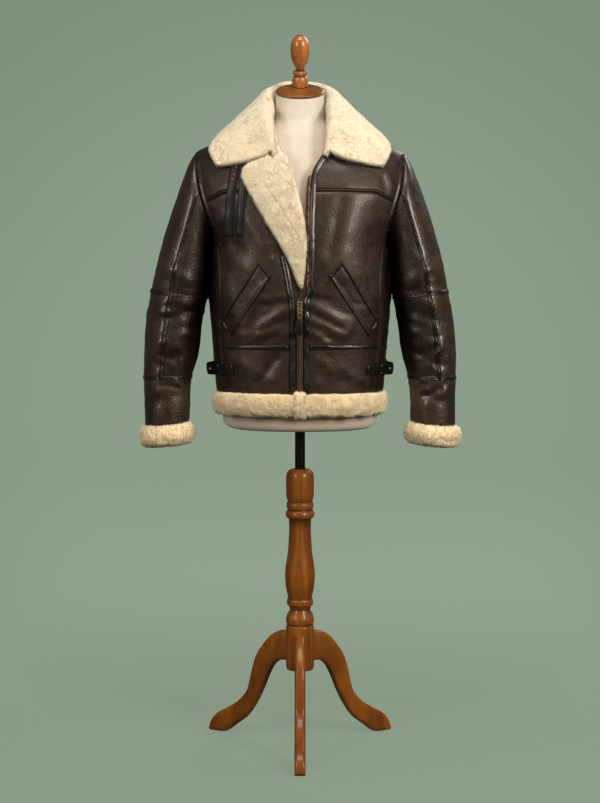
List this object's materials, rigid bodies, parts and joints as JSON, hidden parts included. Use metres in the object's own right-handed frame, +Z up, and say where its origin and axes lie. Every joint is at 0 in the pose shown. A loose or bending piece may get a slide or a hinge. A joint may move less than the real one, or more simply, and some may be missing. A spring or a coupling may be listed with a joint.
{
  "type": "shearling coat on dress form stand",
  "caption": "Dark leather shearling flight coat with cream wool collar, lapel, cuffs and hem, worn by a limbless dress form on a turned wooden tripod stand.",
  "frame": {"origin": "on the floor, centred under the whole", "axes": "+Z up, the coat's front faces -Y, +X towards the wearer's left sleeve"},
  "size_m": [0.69, 0.384, 1.5266],
  "materials": {
    "leather": "dark brown polished sheepskin, rubbed along its edges and folds",
    "tape": "black glossy leather tape",
    "wool": "dense cream shearling wool",
    "form_cloth": "plain cream jersey",
    "wood": "turned and varnished, honey brown",
    "steel": "satin black",
    "brass": "aged",
    "zip": "brown woven tape with bronze teeth"
  },
  "bodies": {
    "stand": {"column": "wood", "leg_1": "wood", "leg_2": "wood", "leg_3": "wood"},
    "pole": {"pole": "steel"},
    "form": {"armhole_tape_l": "tape", "armhole_tape_r": "tape", "back_body": "leather", "back_waist": "leather", "back_yoke": "leather", "collar_l": "wool", "collar_r": "wool", "cuff_fur_l": "wool", "cuff_fur_r": "wool", "finial": "wood", "form_body": "form_cloth", "front_binding_l": "tape", "front_binding_r": "tape", "front_chest_l": "leather", "front_chest_r": "leather", "front_lapel_r": "wool", "front_waist_l": "leather", "front_waist_r": "leather", "front_yoke_l": "leather", "front_yoke_r": "leather", "hem_fur_back": "wool", "hem_fur_front_l": "wool", "hem_fur_front_r": "wool", "neck_cap": "wood", "pocket_welt_l": "leather", "pocket_welt_r": "leather", "side_adjuster_l": "tape", "side_adjuster_r": "tape", "side_panel_l": "leather", "side_panel_r": "leather", "side_seam_tape_l": "tape", "side_seam_tape_r": "tape", "sleeve_lower_outer_l": "leather", "sleeve_lower_outer_r": "leather", "sleeve_lower_under_l": "leather", "sleeve_lower_under_r": "leather", "sleeve_tapes_l": "tape", "sleeve_tapes_r": "tape", "sleeve_upper_outer_l": "leather", "sleeve_upper_outer_r": "leather", "sleeve_upper_under_l": "leather", "sleeve_upper_under_r": "leather", "sleeve_wrist_l": "leather", "sleeve_wrist_r": "leather", "throat_strap_inner": "tape", "throat_strap_outer": "tape", "waist_tape_back": "tape", "waist_tape_l": "tape", "waist_tape_r": "tape", "zip_chain": "zip", "zip_fur_tab": "wool", "zip_slider": "brass", "zip_tape_upper": "zip"},
    "puller": {"zip_puller": "brass", "pull_leather": "leather"}
  },
  "joints": [
    {"name": "pole_height", "type": "slide", "parent": "stand", "child": "pole", "axis": [0, 0, 1], "range_m": [-0.08, 0.09]},
    {"name": "form_turn", "type": "hinge", "parent": "pole", "child": "form", "pos_m": [0, 0.0405, 0.72], "axis": [0, 0, 1], "continuous": true},
    {"name": "puller_swing", "type": "hinge", "parent": "form", "child": "puller", "pos_m": [-0.0005, -0.1155, 0.969], "axis": [-1, 0, 0], "range_deg": [0, 140]}
  ]
}
